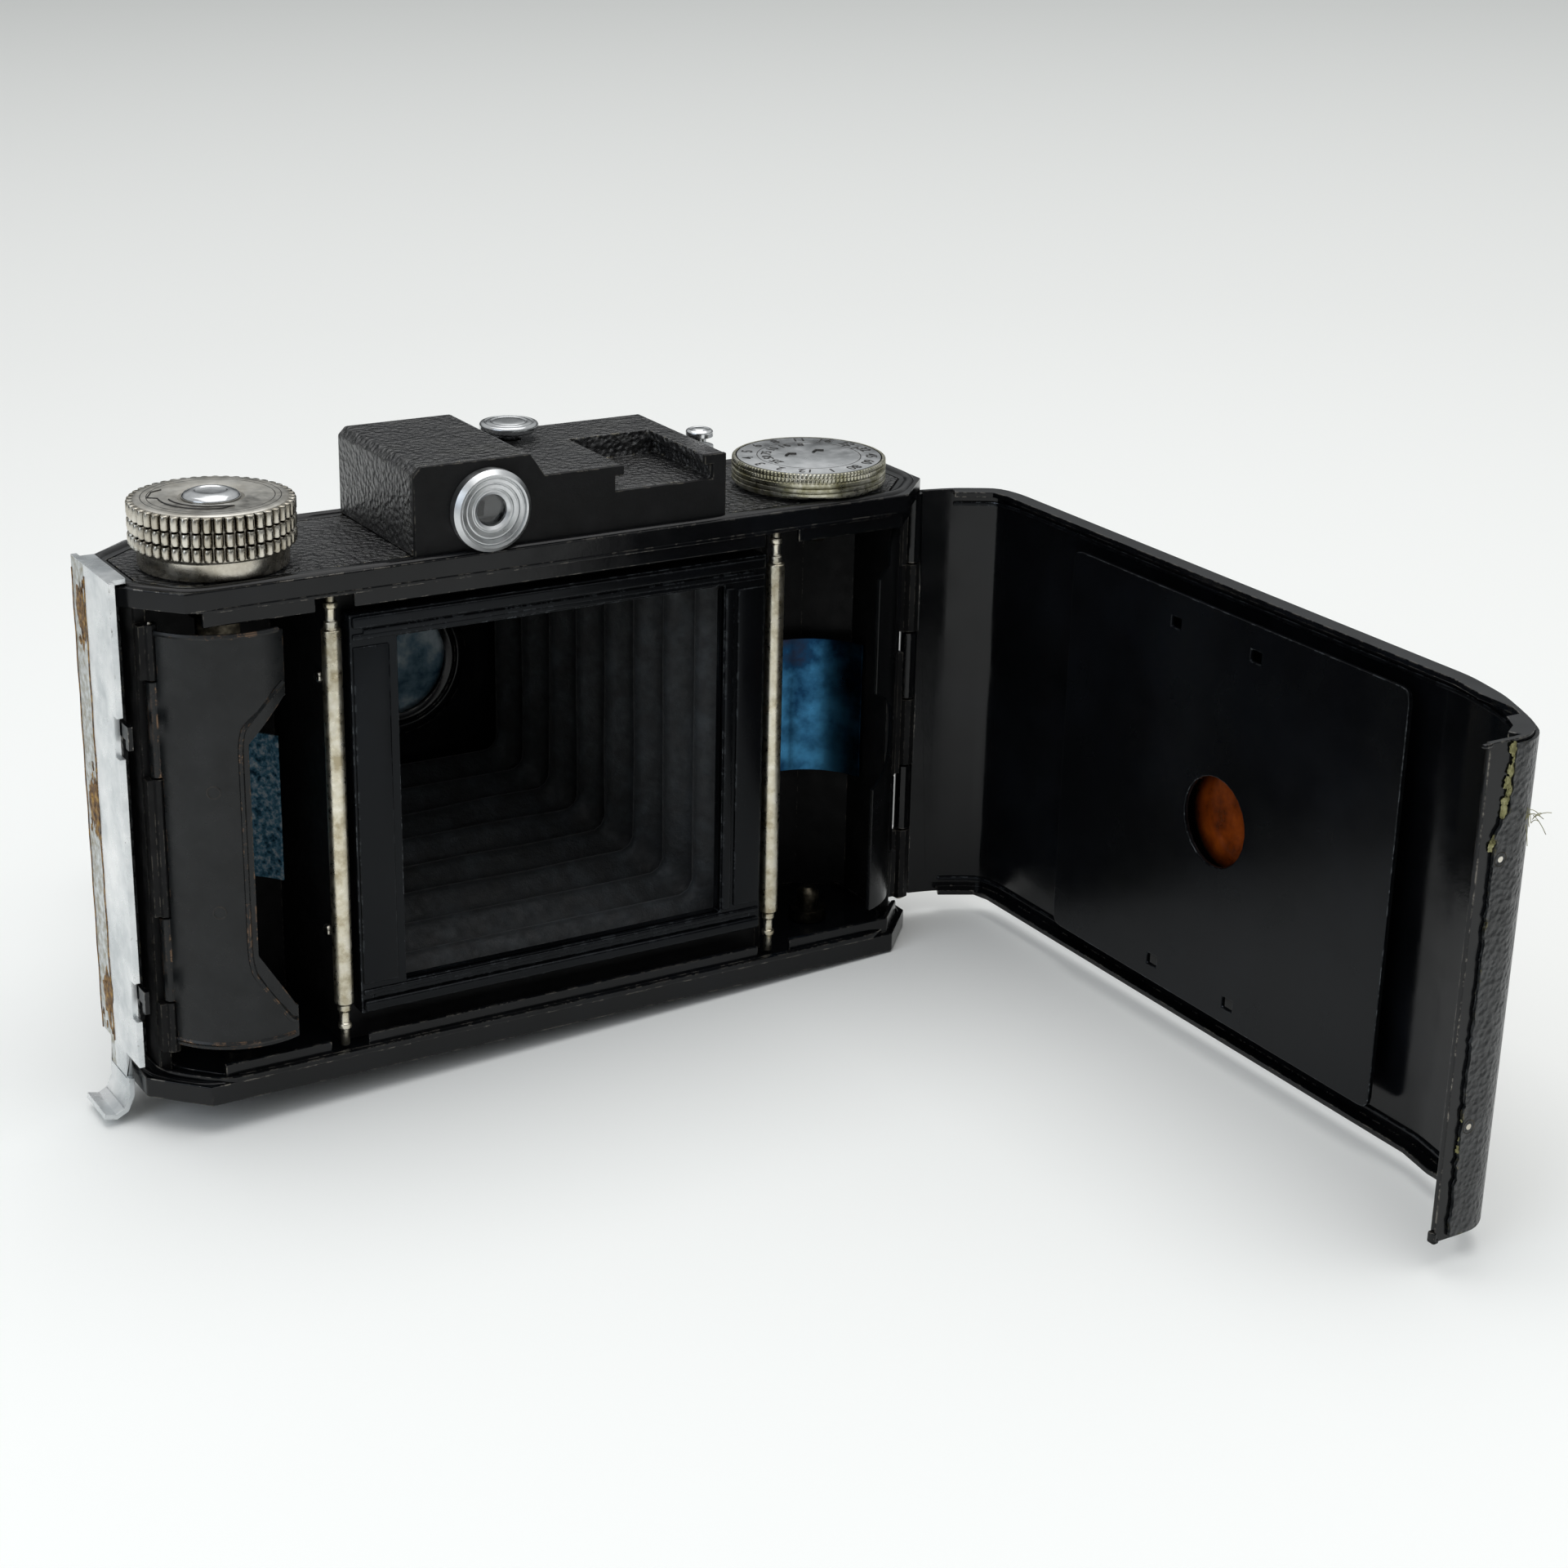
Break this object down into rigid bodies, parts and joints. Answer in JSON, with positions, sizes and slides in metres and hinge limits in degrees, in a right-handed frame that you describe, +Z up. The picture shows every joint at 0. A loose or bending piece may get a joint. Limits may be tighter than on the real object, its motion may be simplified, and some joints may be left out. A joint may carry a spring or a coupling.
{
  "type": "folding camera",
  "caption": "Square-format roll-film folding camera with its hinged back open, drop bed down and lens standard extended on pleated bellows.",
  "frame": {"origin": "centre of the base plate's underside", "axes": "+Z up through the top plate, +Y towards the subject along the lens axis, +X to the right seen from the back"},
  "size_m": [0.1601, 0.2321, 0.099],
  "materials": {
    "black_enamel": "semi-gloss",
    "grained_enamel": "crinkle",
    "leatherette": "grained",
    "nickel": "satin",
    "roller_nickel": "satin",
    "aluminium": "turned",
    "chrome": "bright, worn",
    "blued_steel": "heat blued",
    "brass": "turned",
    "bellows_cloth": "matt",
    "amber_window": "tinted",
    "lens_glass": "coated"
  },
  "bodies": {
    "camera_body": {"bottom_plate": "black_enamel", "top_plate": "black_enamel", "top_inlay": "grained_enamel", "tripod_bush": "brass", "bed_hinge_rod": "nickel", "body_shell": "black_enamel", "left_cradle_pin": "nickel", "right_cradle_pin": "nickel", "door_hinge_pin": "nickel", "front_covering_left": "leatherette", "front_covering_right": "leatherette", "film_gate": "black_enamel", "left_leaf_spring": "blued_steel", "right_leaf_spring": "blued_steel", "finder_housing": "grained_enamel", "finder_back_plate": "black_enamel", "eyepiece_ring": "aluminium", "eyepiece_glass": "lens_glass", "finder_front_glass": "lens_glass", "release_socket": "chrome", "bellows": "bellows_cloth"},
    "back_door": {"door_shell": "black_enamel", "door_covering": "leatherette", "pressure_spring": "blued_steel", "window_glass": "amber_window"},
    "pressure_plate": {"pressure_plate": "black_enamel"},
    "latch": {"latch_bar": "chrome", "latch_slide": "black_enamel"},
    "left_cradle": {"left_cradle_cover": "black_enamel"},
    "right_cradle": {"right_cradle_cover": "black_enamel"},
    "left_roller": {"left_roller": "roller_nickel"},
    "right_roller": {"right_roller": "roller_nickel"},
    "left_spool_pin": {"left_spool_pin": "nickel"},
    "right_spool_pin": {"right_spool_pin": "nickel"},
    "right_top_pin": {"right_top_pin": "nickel"},
    "winding_knob": {"winding_knob": "nickel", "winding_shaft": "nickel", "knob_screw": "chrome"},
    "exposure_dial": {"exposure_dial": "nickel", "dial_face": "aluminium"},
    "bed_release_button": {"bed_release_button": "chrome"},
    "release_plunger": {"release_plunger": "chrome"},
    "bed": {"bed_plate": "black_enamel", "bed_covering": "leatherette"},
    "left_strut": {"left_strut": "nickel"},
    "right_strut": {"right_strut": "nickel"},
    "lens_standard": {"lens_panel": "black_enamel", "rear_lens_cell": "black_enamel", "rear_lens_glass": "lens_glass", "shutter_housing": "black_enamel", "aperture_blades": "blued_steel", "shutter_blades": "blued_steel"},
    "speed_ring": {"speed_ring": "aluminium"},
    "focus_ring": {"focus_ring": "nickel", "front_lens_glass": "lens_glass"},
    "cocking_lever": {"cocking_lever": "chrome"},
    "aperture_lever": {"aperture_lever": "chrome"},
    "shutter_lever": {"shutter_lever": "chrome"}
  },
  "joints": [
    {"name": "door_hinge", "type": "hinge", "parent": "camera_body", "child": "back_door", "pos_m": [0.0699, -0.0044, 0], "axis": [0, 0, 1], "range_deg": [-90, 30]},
    {"name": "pressure_plate_travel", "type": "slide", "parent": "back_door", "child": "pressure_plate", "axis": [1, 0, 0], "range_m": [0, 0.0005], "stiffness_N_per_m": 300, "springref_m": -0.001},
    {"name": "latch_travel", "type": "slide", "parent": "camera_body", "child": "latch", "axis": [0, 0, 1], "range_m": [0, 0.0035]},
    {"name": "left_cradle_swing", "type": "hinge", "parent": "camera_body", "child": "left_cradle", "pos_m": [-0.06395, -0.00871, 0], "axis": [0, 0, -1], "range_deg": [0, 60]},
    {"name": "right_cradle_swing", "type": "hinge", "parent": "camera_body", "child": "right_cradle", "pos_m": [0.06395, -0.00871, 0], "axis": [0, 0, 1], "range_deg": [0, 60]},
    {"name": "left_roller_spin", "type": "hinge", "parent": "camera_body", "child": "left_roller", "pos_m": [-0.038, -0.0131, 0.0412], "axis": [0, 0, 1], "continuous": true},
    {"name": "right_roller_spin", "type": "hinge", "parent": "camera_body", "child": "right_roller", "pos_m": [0.038, -0.0131, 0.0412], "axis": [0, 0, 1], "continuous": true},
    {"name": "winding_knob_turn", "type": "hinge", "parent": "camera_body", "child": "winding_knob", "pos_m": [-0.0518, -0.0033, 0.085], "axis": [0, 0, 1], "continuous": true},
    {"name": "exposure_dial_turn", "type": "hinge", "parent": "camera_body", "child": "exposure_dial", "pos_m": [0.0498, -0.0033, 0.083], "axis": [0, 0, 1], "continuous": true},
    {"name": "bed_release_press", "type": "slide", "parent": "camera_body", "child": "bed_release_button", "axis": [0, 0, -1], "range_m": [0, 0.001], "stiffness_N_per_m": 400, "springref_m": -0.001},
    {"name": "release_plunger_press", "type": "slide", "parent": "camera_body", "child": "release_plunger", "axis": [0, 0, -1], "range_m": [0, 0.0012], "stiffness_N_per_m": 400, "springref_m": -0.001},
    {"name": "bed_fold", "type": "hinge", "parent": "camera_body", "child": "bed", "pos_m": [0, 0.0176, 0.0032], "axis": [1, 0, 0], "range_deg": [0, 90]},
    {"name": "lens_standard_slide", "type": "slide", "parent": "camera_body", "child": "lens_standard", "axis": [0, -1, 0], "range_m": [0, 0.061], "deforming": ["bellows"]},
    {"name": "speed_ring_turn", "type": "hinge", "parent": "lens_standard", "child": "speed_ring", "pos_m": [0, 0.066, 0.0412], "axis": [0, 1, 0], "range_deg": [0, 150]},
    {"name": "focus_ring_turn", "type": "hinge", "parent": "lens_standard", "child": "focus_ring", "pos_m": [0, 0.069, 0.0412], "axis": [0, 1, 0], "range_deg": [0, 270]},
    {"name": "cocking_lever_turn", "type": "hinge", "parent": "lens_standard", "child": "cocking_lever", "pos_m": [0, 0.058, 0.0412], "axis": [0, 1, 0], "range_deg": [0, 40], "stiffness_Nm_per_rad": 0.02, "springref_deg": -5.73},
    {"name": "aperture_lever_turn", "type": "hinge", "parent": "lens_standard", "child": "aperture_lever", "pos_m": [0, 0.06, 0.0412], "axis": [0, 1, 0], "range_deg": [-35, 35]},
    {"name": "shutter_lever_turn", "type": "hinge", "parent": "lens_standard", "child": "shutter_lever", "pos_m": [0, 0.063, 0.0412], "axis": [0, -1, 0], "range_deg": [0, 15], "stiffness_Nm_per_rad": 0.02, "springref_deg": -5.73},
    {"name": "left_strut_turn", "type": "hinge", "parent": "bed", "child": "left_strut", "pos_m": [0, 0.042, 0.0092], "axis": [-1, 0, 0], "range_deg": [0, 140.93]},
    {"name": "right_strut_turn", "type": "hinge", "parent": "bed", "child": "right_strut", "pos_m": [0, 0.042, 0.0092], "axis": [-1, 0, 0], "range_deg": [0, 140.93]},
    {"name": "left_spool_pin_travel", "type": "slide", "parent": "camera_body", "child": "left_spool_pin", "axis": [0, 0, -1], "range_m": [0, 0.0002], "stiffness_N_per_m": 200, "springref_m": -0.001},
    {"name": "right_spool_pin_travel", "type": "slide", "parent": "camera_body", "child": "right_spool_pin", "axis": [0, 0, -1], "range_m": [0, 0.0002], "stiffness_N_per_m": 200, "springref_m": -0.001},
    {"name": "right_top_pin_travel", "type": "slide", "parent": "camera_body", "child": "right_top_pin", "axis": [0, 0, 1], "range_m": [0, 0.0002], "stiffness_N_per_m": 200, "springref_m": -0.001}
  ],
  "couplings": [
    {"joint": "lens_standard_slide", "follows": "bed_fold", "m_per_rad": 0.038834},
    {"joint": "left_strut_turn", "follows": "bed_fold", "ratio": 1.5658},
    {"joint": "right_strut_turn", "follows": "bed_fold", "ratio": 1.5658}
  ]
}
